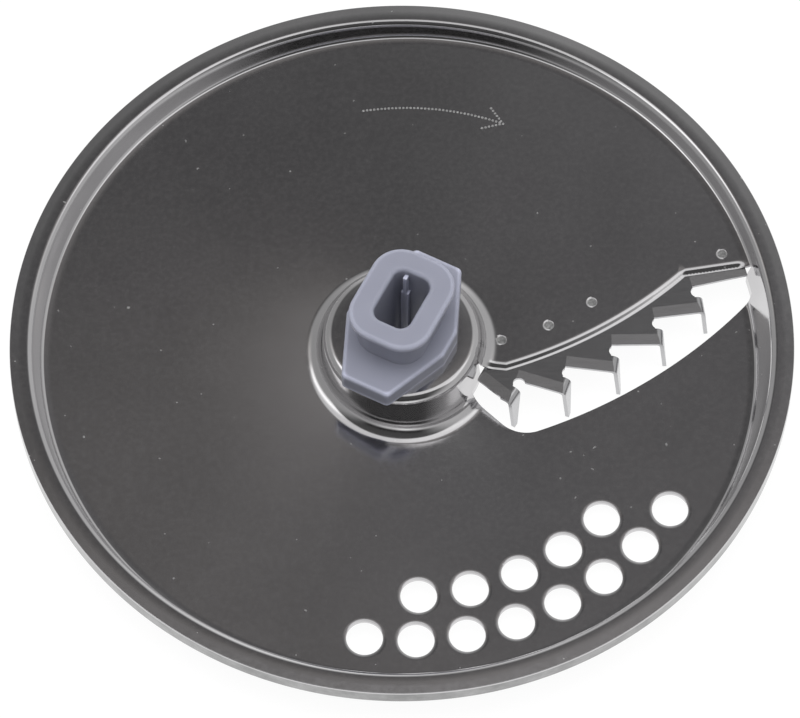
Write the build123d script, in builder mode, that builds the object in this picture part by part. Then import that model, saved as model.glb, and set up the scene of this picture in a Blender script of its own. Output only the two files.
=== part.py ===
"""Chip-cutting disc of a kitchen food processor.

Three pieces: a pressed steel disc with a spiral floor inside a flat rim, a stepped
blade with fins that is welded under the lip of the floor, and a moulded drive hub.
Millimetres. The hub's foot stands on Z = 0 and the axis is Z.
"""

import os
from math import asin, cos, degrees, hypot, radians, sin, tan

from build123d import *

os.makedirs("parts", exist_ok=True)

# Rim of the disc.
disc_diameter = 180.0
sheet = 0.8
flange_height = 16.3
flange_width = 3.8
flange_fall = 3.0
skirt_drop = 4.2
skirt_bend = 1.0
rim_wall_angle = 72.0
rim_crest_bend = 1.2
rim_floor_bend = 2.2

# Spiral floor: how far it lies under the flange at the lip and at the slot's entry.
lip_depth = 3.9
entry_depth = 11.4
ramp_start_angle = 60.0
ramp_end_angle = 335.0
ramp_ease = 0.12
ramp_sections = 19

# Pressed boss in the middle.
boss_rise = 2.3
boss_radius = 17.9
boss_wall_angle = 84.0
boss_crest_bend = 2.2
boss_floor_bend = 3.6

# Blade: six radial edges, each a step behind the one inside it.
blade_sheet = 0.9
tooth_count = 6
tooth_pitch = 10.4
first_fin_radius = 27.5
tooth_step = 7.0
first_tooth_step = 5.9
first_edge_turn = 4.5
outer_edge_angle = 13.2
blade_inner_gap = 0.3
blade_outer_gap = 0.4
blade_overlap = 11.0
edge_bevel_width = 2.6
edge_land = 0.68
fin_depth = 10.0
fin_width = 4.0
fin_tip_width = 1.2
fin_lean = 6.0
fin_bend = 0.8
relief_radius = 1.4
relief_shift = 0.5

# Slot between the lip and the entry edge.
slot_inner_radius = 19.0
slot_rim_gap = 7.2
lip_inner_angle = -17.5
lip_outer_angle = 14.4
lip_shoulder_radius = 24.8
lip_shoulder_angle = -15.0
lip_kink_radius = 68.1
lip_kink_angle = 15.5
lip_bow = 2.7
lip_roll_width = 2.2
lip_roll_drop = 0.6
entry_inner_angle = -32.0
entry_corner_radius = 33.3
entry_corner_angle = -37.2
entry_corner_round = 8.0
entry_outer_angle = 11.0
entry_bow = 4.4

# Two rows of round holes in the floor.
hole_diameter = 8.3
hole_flare = 0.7
hole_flare_drop = 0.5
outer_row_radius = 72.3
outer_row_count = 8
outer_row_angle = -32.5
outer_row_step = -9.19
inner_row_radius = 61.3
inner_row_count = 5
inner_row_angle = -42.3
inner_row_step = -11.08

# Spot welds that hold the blade, as radius and angle.
weld_diameter = 2.6
weld_dent = 0.22
weld_places = ((23.0, 3.1), (34.3, 8.6), (45.4, 14.2), (78.2, 17.8))

# Drive hub.
hub_angle = 62.8
block_length = 37.4
block_width = 24.9
block_end = 11.8
block_side = 6.7
block_height = 4.7
block_round = 1.4
block_edge = 0.6
neck_length = 20.6
neck_width = 16.2
neck_round = 5.4
collar_top = 18.1
cap_height = 2.1
cap_length = 24.8
cap_width = 20.0
cap_round = 7.2
cap_edge = 0.8
socket_length = 14.0
socket_width = 9.0
socket_round = 2.6
socket_mouth = 1.1
key_width = 0.9
key_depth = 1.3
key_drop = 2.0
key_foot_width = 1.9
key_foot_drop = 8.5
key_offset = 2.2
spigot_gap = 0.15
retainer_height = 2.4
retainer_reach = 2.2
retainer_gap = 0.1
foot_edge = 0.6

# Levels and radii that follow from the sizes above.
outer_radius = disc_diameter / 2
slot_outer_radius = outer_radius - slot_rim_gap
crest_radius = outer_radius - flange_width - rim_crest_bend * tan(radians(rim_wall_angle / 2))
boss_top = flange_height + boss_rise
lip_level = flange_height - lip_depth
blade_top = lip_level - sheet
edge_level = blade_top - blade_sheet
cut_height = 3 * flange_height
reach = 2 * outer_radius


def polar(radius, angle):
    """Plan point at a radius and an angle in degrees."""
    return (radius * cos(radians(angle)), radius * sin(radians(angle)))


def ramp_depth(angle):
    """Depth of the floor under the flange on the spiral, eased at both ends."""
    share = (angle - ramp_start_angle) / (ramp_end_angle - ramp_start_angle)
    share = min(max(share, 0.0), 1.0)
    if share < ramp_ease:
        eased = share**2 / (2 * ramp_ease * (1 - ramp_ease))
    elif share > 1 - ramp_ease:
        eased = 1 - (1 - share) ** 2 / (2 * ramp_ease * (1 - ramp_ease))
    else:
        eased = (share - ramp_ease / 2) / (1 - ramp_ease)
    return lip_depth + (entry_depth - lip_depth) * eased


def meeting(point_a, angle_a, point_b, angle_b):
    """Point where two lines in the section meet, each given by a point and an angle."""
    ax, ay = point_a
    bx, by = point_b
    ux, uy = cos(radians(angle_a)), sin(radians(angle_a))
    vx, vy = cos(radians(angle_b)), sin(radians(angle_b))
    along = ((bx - ax) * vy - (by - ay) * vx) / (ux * vy - uy * vx)
    return (ax + along * ux, ay + along * uy)


def shifted(point, angle, distance):
    """Point moved square to a line, to the right of its direction."""
    return (
        point[0] + distance * sin(radians(angle)),
        point[1] - distance * cos(radians(angle)),
    )


def section_points(depth, inset):
    """Corners of the sheet's upper face in a radial section, or of its lower face."""
    starts = [
        (0.0, boss_top),
        (boss_radius, boss_top),
        (outer_radius / 2, flange_height - depth),
        (crest_radius, flange_height),
        (crest_radius, flange_height),
        (outer_radius, flange_height),
    ]
    angles = [0.0, -boss_wall_angle, 0.0, rim_wall_angle, -flange_fall, -90.0]
    moved = [shifted(p, a, inset) for p, a in zip(starts, angles)]
    corners = [
        meeting(moved[i], angles[i], moved[i + 1], angles[i + 1]) for i in range(5)
    ]
    first = (spigot_hole_reach, moved[0][1])
    last = (moved[5][0], flange_height - skirt_drop)
    return [first] + corners + [last]


def section_plane(angle):
    """Plane through the axis, with its own X pointing outward at the angle."""
    outward = (cos(radians(angle)), sin(radians(angle)), 0)
    return Plane(
        origin=(0, 0, 0),
        x_dir=outward,
        z_dir=(sin(radians(angle)), -cos(radians(angle)), 0),
    )


def draw_section(depth):
    """Closed outline of the sheet in the section that is being drawn."""
    bends = [boss_crest_bend, boss_floor_bend, rim_floor_bend, rim_crest_bend, skirt_bend]
    grow = [-sheet, sheet, sheet, -sheet, -sheet]
    under_bends = [bend + change for bend, change in zip(bends, grow)]
    upper = section_points(depth, 0.0)
    lower = section_points(depth, sheet)
    with BuildLine() as outline:
        FilletPolyline(*upper, radius=bends)
        Line(upper[-1], lower[-1])
        FilletPolyline(*reversed(lower), radius=list(reversed(under_bends)))
        Line(lower[0], upper[0])
    make_face(outline.edges())


def bowed_middle(start, end, bow):
    """Middle of an arc from start to end that bows to the right of its chord."""
    run, rise = end[0] - start[0], end[1] - start[1]
    chord = hypot(run, rise)
    return (
        (start[0] + end[0]) / 2 + bow * rise / chord,
        (start[1] + end[1]) / 2 - bow * run / chord,
    )


def tooth_plane(radius, angle):
    """Upright plane across the blade: its X points outward and its Y is up."""
    x, y = polar(radius, angle)
    outward = (cos(radians(angle)), sin(radians(angle)), 0)
    forward = (sin(radians(angle)), -cos(radians(angle)), 0)
    return Plane(origin=(x, y, 0), x_dir=outward, z_dir=forward)


def edge_plane(start, end):
    """Upright plane square to a cutting edge: its X points back and its Y is up."""
    run, rise = end[0] - start[0], end[1] - start[1]
    return Plane(origin=(*start, 0), x_dir=(-rise, run, 0), z_dir=(run, rise, 0))


def hub_frame(level):
    """Plan plane of the hub at a level, with X along the hub."""
    return Plane(
        origin=(0, 0, level),
        x_dir=(cos(radians(hub_angle)), sin(radians(hub_angle)), 0),
        z_dir=(0, 0, 1),
    )


spigot_hole_reach = neck_width / 4
fin_radii = [first_fin_radius + i * tooth_pitch for i in range(tooth_count - 1)]
edge_angles = [outer_edge_angle]
for fin_radius in reversed(fin_radii):
    step = first_tooth_step if fin_radius == first_fin_radius else tooth_step
    edge_angles.insert(0, edge_angles[0] - degrees(step / fin_radius))
blade_inner_radius = slot_inner_radius + blade_inner_gap
blade_outer_radius = slot_outer_radius - blade_outer_gap
tooth_inner = [blade_inner_radius] + fin_radii
tooth_outer = fin_radii + [blade_outer_radius]
edge_starts = [polar(radius, angle) for radius, angle in zip(tooth_inner, edge_angles)]
edge_starts[0] = polar(blade_inner_radius, edge_angles[0] + first_edge_turn)
edge_ends = [polar(radius, angle) for radius, angle in zip(tooth_outer, edge_angles)]

# Points of the slot in plan.
lip_inner = polar(slot_inner_radius, lip_inner_angle)
lip_shoulder = polar(lip_shoulder_radius, lip_shoulder_angle)
lip_kink = polar(lip_kink_radius, lip_kink_angle)
lip_outer = polar(slot_outer_radius, lip_outer_angle)
entry_outer = polar(slot_outer_radius, entry_outer_angle)
entry_corner = polar(entry_corner_radius, entry_corner_angle)
entry_inner = polar(slot_inner_radius, entry_inner_angle)
split_points = [
    polar((near + far) / 2, angle)
    for near, far, angle in list(zip(tooth_inner, tooth_outer, edge_angles))[1:]
]

# Floor sectors. The spiral runs from behind the lip round to the entry of the slot.
with BuildPart() as spiral_sector:
    for i in range(ramp_sections):
        turn = ramp_start_angle + (ramp_end_angle - ramp_start_angle) * i / (ramp_sections - 1)
        with BuildSketch(section_plane(turn)):
            draw_section(ramp_depth(turn))
    loft()

lip_keep = [(0, 0), lip_inner] + split_points + [
    lip_outer,
    polar(reach, lip_outer_angle),
    polar(reach, ramp_start_angle),
]
with BuildPart() as lip_sector:
    with BuildSketch(section_plane(lip_inner_angle)):
        draw_section(lip_depth)
    revolve(axis=Axis.Z, revolution_arc=ramp_start_angle - lip_inner_angle)
    with BuildSketch():
        with BuildLine():
            Polyline(*lip_keep, close=True)
        make_face()
    extrude(amount=cut_height, mode=Mode.INTERSECT)

entry_keep = [(0, 0), polar(reach, ramp_end_angle), polar(reach, lip_outer_angle), lip_outer]
entry_keep += list(reversed(split_points)) + [lip_inner]
with BuildPart() as entry_sector:
    with BuildSketch(section_plane(ramp_end_angle)):
        draw_section(entry_depth)
    revolve(axis=Axis.Z, revolution_arc=360 + lip_outer_angle - ramp_end_angle)
    with BuildSketch():
        with BuildLine():
            Polyline(*entry_keep, close=True)
        make_face()
    extrude(amount=cut_height, mode=Mode.INTERSECT)

lip_middle = bowed_middle(lip_shoulder, lip_kink, lip_bow)
entry_middle = bowed_middle(entry_corner, entry_outer, entry_bow)
slot_end_middle = polar(slot_outer_radius, (entry_outer_angle + lip_outer_angle) / 2)
slot_start_middle = polar(slot_inner_radius, (entry_inner_angle + lip_inner_angle) / 2)
hole_places = [
    (outer_row_radius, outer_row_angle + i * outer_row_step) for i in range(outer_row_count)
]
hole_places += [
    (inner_row_radius, inner_row_angle + i * inner_row_step) for i in range(inner_row_count)
]
lip_roll = (lip_roll_width**2 + lip_roll_drop**2) / (2 * lip_roll_drop)
lip_roll_turn = degrees(asin(lip_roll_width / lip_roll))
weld_ball = (weld_diameter**2 / 4 + weld_dent**2) / (2 * weld_dent)

with BuildPart() as disc_plate:
    add(spiral_sector.part)
    add(lip_sector.part)
    add(entry_sector.part)

    # Slot, with a wide round at its inner corner.
    with BuildSketch() as slot_plan:
        with BuildLine():
            Line(lip_inner, lip_shoulder)
            ThreePointArc(lip_shoulder, lip_middle, lip_kink)
            Line(lip_kink, lip_outer)
            ThreePointArc(lip_outer, slot_end_middle, entry_outer)
            ThreePointArc(entry_outer, entry_middle, entry_corner)
            Line(entry_corner, entry_inner)
            ThreePointArc(entry_inner, slot_start_middle, lip_inner)
        make_face()
        corner = slot_plan.vertices().sort_by_distance((*entry_corner, 0))[0]
        fillet(corner, radius=entry_corner_round)
    extrude(amount=cut_height, mode=Mode.SUBTRACT)

    # Rolled edge along the lip, where the food slides up on to the plate.
    with BuildLine() as lip_path:
        ThreePointArc(
            (*lip_shoulder, lip_level), (*lip_middle, lip_level), (*lip_kink, lip_level)
        )
        Line((*lip_kink, lip_level), (*lip_outer, lip_level))
    with BuildSketch(Plane(lip_path.line @ 0, x_dir=(0, 0, 1), z_dir=lip_path.line % 0)):
        with BuildLine():
            CenterArc((-lip_roll, -lip_roll_width), lip_roll, 0, lip_roll_turn)
            Polyline(
                (-lip_roll_drop, 0),
                (sheet, 0),
                (sheet, -lip_roll_width),
                (0, -lip_roll_width),
            )
        make_face()
    sweep(path=lip_path.line, transition=Transition.RIGHT, mode=Mode.SUBTRACT)

    # Holes with a soft upper edge.
    for radius, angle in hole_places:
        level = flange_height - ramp_depth(angle + 360)
        with Locations((*polar(radius, angle), level)):
            Cylinder(hole_diameter / 2, 4 * sheet, mode=Mode.SUBTRACT)
            Cone(
                hole_diameter / 2,
                hole_diameter / 2 + hole_flare,
                hole_flare_drop,
                align=(Align.CENTER, Align.CENTER, Align.MAX),
                mode=Mode.SUBTRACT,
            )

    # Dents of the spot welds.
    for radius, angle in weld_places:
        with Locations((*polar(radius, angle), lip_level + weld_ball - weld_dent)):
            Sphere(weld_ball, mode=Mode.SUBTRACT)

    # Opening that the hub is moulded through.
    with BuildSketch(hub_frame(boss_top - 2 * sheet)):
        RectangleRounded(
            neck_length + 2 * spigot_gap, neck_width + 2 * spigot_gap, neck_round + spigot_gap
        )
    extrude(amount=3 * sheet, mode=Mode.SUBTRACT)

# Blade strip with a staircase front edge, then its fins, reliefs and ground bevels.
front_points = []
for start, end in zip(edge_starts, edge_ends):
    front_points += [start, end]
rear_outer = polar(
    blade_outer_radius, lip_outer_angle + degrees(blade_overlap / 2 / slot_outer_radius)
)
rear_kink = polar(lip_kink_radius, lip_kink_angle + degrees(blade_overlap / lip_kink_radius))
rear_inner = polar(
    lip_shoulder_radius, lip_shoulder_angle + degrees(blade_overlap / lip_shoulder_radius)
)
bend_outer = fin_bend + blade_sheet
leg_angle = fin_lean - 90.0
fin_corner = bend_outer * tan(radians((90.0 - fin_lean) / 2))
fin_root = 1.5 * blade_sheet
fin_foot = edge_level - fin_depth
leg_start = (fin_corner, blade_top)
leg_under = shifted(leg_start, leg_angle, blade_sheet)
fin_upper = [
    (-fin_root, blade_top),
    leg_start,
    meeting(leg_start, leg_angle, (0, fin_foot), 0),
]
fin_lower = [
    (-fin_root, edge_level),
    meeting((0, edge_level), 0, leg_under, leg_angle),
    meeting(leg_under, leg_angle, (0, fin_foot), 0),
]

with BuildPart() as cutting_blade:
    with BuildSketch(Plane.XY.offset(edge_level)):
        with BuildLine():
            Polyline(*front_points, rear_outer, rear_kink, rear_inner, close=True)
        make_face()
    extrude(amount=blade_sheet)

    for radius, angle in zip(fin_radii, edge_angles):
        with BuildPart(mode=Mode.PRIVATE) as fin:
            with BuildSketch(tooth_plane(radius, angle)):
                with BuildLine():
                    FilletPolyline(*fin_upper, radius=bend_outer)
                    Line(fin_upper[-1], fin_lower[-1])
                    FilletPolyline(*reversed(fin_lower), radius=fin_bend)
                    Line(fin_lower[0], fin_upper[0])
                make_face()
            extrude(amount=-fin_width)
            with BuildSketch(edge_plane(polar(radius, angle), polar(2 * radius, angle))):
                with BuildLine():
                    Polyline(
                        (fin_width, edge_level - fin_bend),
                        (2 * fin_width, edge_level - fin_bend),
                        (2 * fin_width, fin_foot),
                        (fin_tip_width, fin_foot),
                        close=True,
                    )
                make_face()
            extrude(amount=fin_depth, both=True, mode=Mode.SUBTRACT)
        add(fin.part)
        back = fin_width + relief_radius
        x, y = polar(radius + relief_shift, angle)
        place = (x - back * sin(radians(angle)), y + back * cos(radians(angle)), blade_top)
        with Locations(place):
            Cylinder(relief_radius, 4 * blade_sheet, mode=Mode.SUBTRACT)

    for start, end in zip(edge_starts, edge_ends):
        with BuildSketch(edge_plane(start, end)):
            with BuildLine():
                Polyline(
                    (0, edge_level + edge_land),
                    (edge_bevel_width, blade_top),
                    (edge_bevel_width, blade_top + blade_sheet),
                    (0, blade_top + blade_sheet),
                    close=True,
                )
            make_face()
        length = hypot(end[0] - start[0], end[1] - start[1])
        extrude(amount=length + bend_outer, mode=Mode.SUBTRACT)

# Hub: an eight-sided block on the boss, a neck with a cap over it and a spigot below.
block_top = boss_top + block_height
hub_top = flange_height + collar_top
block_plan = [
    (block_length / 2, block_end / 2),
    (block_side / 2, block_width / 2),
    (-block_side / 2, block_width / 2),
    (-block_length / 2, block_end / 2),
    (-block_length / 2, -block_end / 2),
    (-block_side / 2, -block_width / 2),
    (block_side / 2, -block_width / 2),
    (block_length / 2, -block_end / 2),
]
with BuildPart() as drive_hub:
    with BuildSketch(hub_frame(boss_top)) as block_sketch:
        with BuildLine():
            Polyline(*block_plan, close=True)
        make_face()
        fillet(block_sketch.vertices(), radius=block_round)
    extrude(amount=block_height)
    fillet(drive_hub.edges().group_by(Axis.Z)[-1], radius=block_edge)

    with BuildSketch(hub_frame(0)):
        RectangleRounded(neck_length, neck_width, neck_round)
    extrude(amount=hub_top - cap_height / 2)
    chamfer(drive_hub.edges().group_by(Axis.Z)[0], length=foot_edge)

    with BuildPart(mode=Mode.PRIVATE) as cap:
        with BuildSketch(hub_frame(hub_top - cap_height)):
            RectangleRounded(cap_length, cap_width, cap_round)
        extrude(amount=cap_height)
        fillet(cap.edges().group_by(Axis.Z)[-1] + cap.edges().group_by(Axis.Z)[0], radius=cap_edge)
    add(cap.part)

    with BuildSketch(hub_frame(boss_top - sheet - retainer_gap)):
        RectangleRounded(
            neck_length + 2 * retainer_reach,
            neck_width + 2 * retainer_reach,
            neck_round + retainer_reach,
        )
    extrude(amount=-retainer_height)

    with BuildSketch(hub_frame(0)):
        RectangleRounded(socket_length, socket_width, socket_round)
    extrude(amount=hub_top, mode=Mode.SUBTRACT)
    mouth = drive_hub.faces().sort_by(Axis.Z)[-1].inner_wires()[0].edges()
    fillet(mouth, radius=socket_mouth)

    with BuildSketch(hub_frame(0)):
        with Locations((socket_length / 2, key_offset)):
            Rectangle(2 * key_depth, key_width)
    extrude(amount=hub_top - key_drop)
    with BuildSketch(hub_frame(0)):
        with Locations((socket_length / 2, key_offset)):
            Rectangle(2 * key_depth, key_foot_width)
    extrude(amount=hub_top - key_foot_drop)

disc_plate.part.label = "disc_plate"
cutting_blade.part.label = "cutting_blade"
drive_hub.part.label = "drive_hub"
export_step(disc_plate.part, "parts/disc_plate.step")
export_step(cutting_blade.part, "parts/cutting_blade.step")
export_step(drive_hub.part, "parts/drive_hub.step")
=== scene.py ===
"""Looks of a food processor's chip-cutting disc, laid out as a Blender add-on.

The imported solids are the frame. The pressed plate is built again as a fine smooth sheet,
the blade and the hub get their finishes, a plain turning arrow is punched into the plate,
and a white floor, a studio and a camera are set up round them.
"""

from math import atan2, cos, pi, radians, sin, tan

import bmesh
import bpy
import numpy as np
from mathutils import Matrix, Vector
from mathutils.geometry import delaunay_2d_cdt


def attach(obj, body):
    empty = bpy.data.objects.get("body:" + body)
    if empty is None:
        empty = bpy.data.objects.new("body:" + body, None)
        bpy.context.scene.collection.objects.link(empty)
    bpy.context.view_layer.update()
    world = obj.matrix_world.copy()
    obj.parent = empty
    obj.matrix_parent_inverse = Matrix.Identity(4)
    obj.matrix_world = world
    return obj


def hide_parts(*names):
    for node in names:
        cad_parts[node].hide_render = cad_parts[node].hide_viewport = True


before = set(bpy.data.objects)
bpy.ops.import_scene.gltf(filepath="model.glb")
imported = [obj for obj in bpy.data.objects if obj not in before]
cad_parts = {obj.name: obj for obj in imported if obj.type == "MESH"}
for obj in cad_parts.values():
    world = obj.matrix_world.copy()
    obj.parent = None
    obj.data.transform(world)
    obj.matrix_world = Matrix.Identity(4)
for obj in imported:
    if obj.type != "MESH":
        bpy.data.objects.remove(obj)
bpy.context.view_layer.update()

bl_info = {
    "name": "Food Processor Disc",
    "version": (1, 0, 0),
    "blender": (4, 5, 0),
    "location": "View3D > Sidebar > Disc",
    "description": "Presses and finishes a chip-cutting disc and lights it in a plain studio",
    "category": "Object",
}

IMAGE_WIDTH = 800
SENSOR_WIDTH = 36.0
MM = 0.001
LAP = 2 * pi

# Spot welds as a radius in millimetres and an angle in degrees.
WELDS = ((23.0, 3.1), (34.3, 8.6), (45.4, 14.2), (78.2, 17.8))

# Share of a weld's dent that has the weld's own finish.
WELD_SHARE = 0.8

# Slope of the lip's rolled edge in degrees, at shares of its width from the edge inward.
LIP_SLOPES = ((0.0, 15.0), (0.2, 14.0), (0.28, 30.0), (0.5, 30.0), (0.62, 20.0), (1.0, 0.0))

# Where the boss's top starts to slope, as a share of its radius, and where the rim does, as a
# share of its width in from the edge.
BOSS_SLOPE_START = 0.8
RIM_SLOPE_START = 0.7

# Least radius of a bend's inner face.
TIGHTEST_BEND = 0.03 * MM

# Rows of points across each straight and bend of the sheet's section, from the boss to the skirt,
# and the places along it where the boss's crest, the floor and the rim's wall start or end.
SECTION_ROWS = (3, 6, 2, 14, 3, 20, 26, 6, 1, 12, 3, 14, 1, 6, 1, 6, 3)
CREST_END = 4.0
FLOOR_START = 6.0
FLOOR_END = 7.0
WALL_END = 11.0

# Points round a hole.
HOLE_POINTS = 48

# Extra rows of points, as shares of the lip's roll, of a hole's soft edge and of a weld's radius.
LIP_ROWS = (0.08, 0.18, 0.24, 0.3, 0.4, 0.5, 0.57, 0.65, 0.74, 0.83, 0.92, 1.04)
HOLE_ROWS = (0.1, 0.25, 0.45, 0.7, 1.0, 1.4)
WELD_ROWS = (0.0, 0.25, 0.5, 0.75, 0.9, 1.0, 1.2)

# Room kept round the plain grid of points, at the lip's end and beside the lip, and the share of a
# straight or bend that a seam's rows keep from its ends.
GRID_ROOM = 0.45 * MM
LIP_END_ROOM = 0.2 * MM
LIP_ROOM = 0.02 * MM
SEAM_ROOM = 0.02

# Steps of the searches along the section, over the lip's roll, for lengths and for the opening.
PLACE_STEPS = 321
ROLL_STEPS = 400
LENGTH_STEPS = 2000
OPENING_HALVINGS = 40

# Turn over which slopes are measured, gaps that count as none, and the least length divided by.
TURN_STEP = 1e-4
SAME = 1e-9
TOUCHING = 1e-6
LEAST_LENGTH = 1e-12

# Sharpest corner that a cut edge is shaded smoothly round.
GENTLE_CORNER = radians(35.0)

# Soft border of the painted shade on the skirt, a darker metal colour that dims its reflection: in
# from the disc's edge, and down from the rim.
SKIRT_SHADE_IN = (0.9 * MM, 0.7 * MM)
SKIRT_SHADE_DOWN = (0.4 * MM, 0.9 * MM)

# Floor: the grey that takes the shadow, its glow, and the grey that other light bounces off.
FLOOR_SHADOW = 0.1
FLOOR_GLOW = 0.93
FLOOR_BOUNCE = 0.8

# A punched dot's rings, as shares of its radius outward and upward, and its number of sides.
DOT_RINGS = ((0.3, 0.0), (0.7, 0.16), (1.0, -0.04))
DOT_SIDES = 10

# Studio, by the part of a direction that goes across, along or up: levels of the far wall, the back
# wall and the soft box, and the ranges over which each starts.
FAR_WALL = (
    (0.0, 1.0),
    (0.45, 0.9),
    (0.58, 0.6),
    (0.7, 0.4),
    (0.78, 0.24),
    (0.825, 0.15),
    (0.86, (0.106, 0.104, 0.107)),
)
ROOM_SLANT = (-0.05, 0.09, 0.81, 1.2)
SIDE_WALLS = ((0.1, 0.5, 0.6), (-0.1, -0.5, 0.42))
SIDE_UP = (0.93, 0.75)
BACK_WALL = ((0.45, 0.02), (0.7, 0.08))
BACK_ALONG = (-0.12, -0.3)
BACK_ACROSS = (0.8, 0.36)
BACK_UP = (0.22, 0.45)
SOFT_BOX = (
    (0.2, 1.0),
    (0.265, (0.24, 0.232, 0.23)),
    (0.3, (0.13, 0.124, 0.12)),
    (0.354, (0.2, 0.19, 0.18)),
    (0.4, (0.07, 0.064, 0.058)),
    (0.47, 0.0),
)
BOX_ALONG = (-0.3, -0.2)
BOX_ACROSS = (0.75, 0.5)
BOX_UP = (0.4, 0.65)
BOX_RIGHT = (0.04, 0.25, 0.75, 0.9)
BOX_LEFT = (-0.28, -0.5, 0.0, 0.9)


# Property helpers.


def real(name, description, default, **kind):
    """Number of a kind."""
    return bpy.props.FloatProperty(name=name, description=description, default=default, **kind)


def length(name, description, millimetres):
    """Length with its default in millimetres."""
    return real(name, description, millimetres * MM, subtype="DISTANCE", unit="LENGTH")


def angle(name, description, degrees):
    """Angle with its default in degrees."""
    return real(name, description, radians(degrees), subtype="ANGLE")


def factor(name, description, share):
    """Share from nought to one."""
    return real(name, description, share, subtype="FACTOR", min=0.0, max=1.0)


def level(name, description, value):
    """Plain number of no unit, such as the strength of a light."""
    return real(name, description, value, min=0.0)


def number(name, description, count):
    """Whole number."""
    return bpy.props.IntProperty(name=name, description=description, min=1, default=count)


def colour(name, description, values):
    """Colour of a finish."""
    kind = {"subtype": "COLOR", "size": 3, "min": 0.0, "max": 1.0}
    return bpy.props.FloatVectorProperty(
        name=name, description=description, default=values, **kind
    )


# Sizes and colours that a user would change.


class SheetSettings(bpy.types.PropertyGroup):
    """Sizes of the pressed sheet, as the solid has them but for its softer bends."""

    thickness: length("Thickness", "Thickness of the sheet", 0.8)
    outer_radius: length("Outer radius", "Radius of the disc", 90.0)
    rim_level: length("Rim level", "Height of the rim's crest above the hub's foot", 16.3)
    flange_width: length("Flange width", "Width of the flat of the rim", 3.8)
    flange_fall: angle("Flange fall", "Slope of the rim toward its edge", 4.0)
    flange_crown: length("Flange crown", "Radius over which the rim starts to slope", 26.0)
    skirt_drop: length("Skirt drop", "Depth of the turned-down edge", 4.2)
    skirt_bend: length("Skirt bend", "Radius where the rim turns down", 0.15)
    rim_wall: angle("Rim wall", "Slope of the wall inside the rim", 76.0)
    rim_crest_bend: length("Rim crest bend", "Radius at the top of that wall", 1.7)
    rim_floor_bend: length("Rim floor bend", "Radius at the foot of that wall", 1.0)
    toe_slope: angle("Toe slope", "Slope of the floor just inside that wall", 5.5)
    toe_reach: length("Toe reach", "Distance of that slope from the wall", 1.6)
    toe_bend: length("Toe bend", "Radius where that slope starts", 14.0)
    lip_depth: length("Lip depth", "Depth of the floor at the lip", 3.9)
    entry_depth: length("Entry depth", "Depth of the floor at the slot's entry", 11.4)
    ramp_start: angle("Ramp start", "Angle where the floor starts to fall", 60.0)
    ramp_end: angle("Ramp end", "Angle where the floor is down", 335.0)
    ramp_ease: factor("Ramp ease", "Share of the ramp that eases in and out", 0.12)
    boss_rise: length("Boss rise", "Height of the boss above the rim", 2.3)
    boss_radius: length("Boss radius", "Radius of the boss at its top", 17.9)
    boss_fall: angle("Boss fall", "Slope of the boss's top toward its edge", 4.0)
    boss_crown: length("Boss crown", "Radius over which the boss's top starts to slope", 30.0)
    boss_wall: angle("Boss wall", "Slope of the boss's wall", 84.0)
    boss_crest_bend: length("Boss crest bend", "Radius at the boss's top", 2.4)
    boss_floor_bend: length("Boss floor bend", "Radius at the boss's foot", 4.0)
    slot_inner_radius: length("Slot inner radius", "Radius where the slot starts", 19.0)
    slot_rim_gap: length("Slot to rim", "Distance from the slot's end to the edge", 7.2)
    lip_inner_angle: angle("Lip inner angle", "Angle of the lip's inner end", -17.5)
    lip_outer_angle: angle("Lip outer angle", "Angle of the lip's outer end", 14.4)
    lip_shoulder_radius: length("Lip shoulder radius", "Radius of the lip's inner corner", 24.8)
    lip_shoulder_angle: angle("Lip shoulder angle", "Angle of the lip's inner corner", -15.0)
    lip_kink_radius: length("Lip kink radius", "Radius of the lip's outer corner", 68.1)
    lip_kink_angle: angle("Lip kink angle", "Angle of the lip's outer corner", 15.5)
    lip_bow: length("Lip bow", "Bow of the lip between its corners", 2.7)
    lip_roll_width: length("Lip roll width", "Width of the lip's rolled edge", 2.0)
    entry_inner_angle: angle("Entry inner angle", "Angle of the entry's inner end", -32.0)
    entry_corner_radius: length("Entry corner radius", "Radius of the entry's corner", 33.3)
    entry_corner_angle: angle("Entry corner angle", "Angle of the entry's corner", -37.2)
    entry_corner_round: length("Entry corner round", "Round of the entry's corner", 8.0)
    entry_outer_angle: angle("Entry outer angle", "Angle of the entry's outer end", 11.0)
    entry_bow: length("Entry bow", "Bow of the entry's long edge", 4.4)
    hole_diameter: length("Hole diameter", "Diameter of the round holes", 8.3)
    hole_flare: length("Hole flare", "Width of a hole's soft edge", 0.9)
    hole_flare_drop: length("Hole flare drop", "Drop of a hole's soft edge", 0.12)
    outer_row_radius: length("Outer row radius", "Radius of the outer row of holes", 72.3)
    outer_row_count: number("Outer row count", "Holes in the outer row", 8)
    outer_row_angle: angle("Outer row angle", "Angle of the outer row's first hole", -32.5)
    outer_row_step: angle("Outer row step", "Step of the outer row", -9.19)
    inner_row_radius: length("Inner row radius", "Radius of the inner row of holes", 61.3)
    inner_row_count: number("Inner row count", "Holes in the inner row", 5)
    inner_row_angle: angle("Inner row angle", "Angle of the inner row's first hole", -42.3)
    inner_row_step: angle("Inner row step", "Step of the inner row", -11.08)
    weld_diameter: length("Weld diameter", "Diameter of a spot weld's dent", 2.6)
    weld_dent: length("Weld dent", "Depth of a spot weld's dent", 0.22)
    opening_length: length("Opening length", "Length of the hub's opening", 20.9)
    opening_width: length("Opening width", "Width of the hub's opening", 16.5)
    opening_round: length("Opening round", "Corner radius of the hub's opening", 5.55)
    hub_angle: angle("Hub angle", "Turn of the hub", 62.8)
    column_step: angle("Column step", "Angle from one column of points to the next", 1.2)


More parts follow.
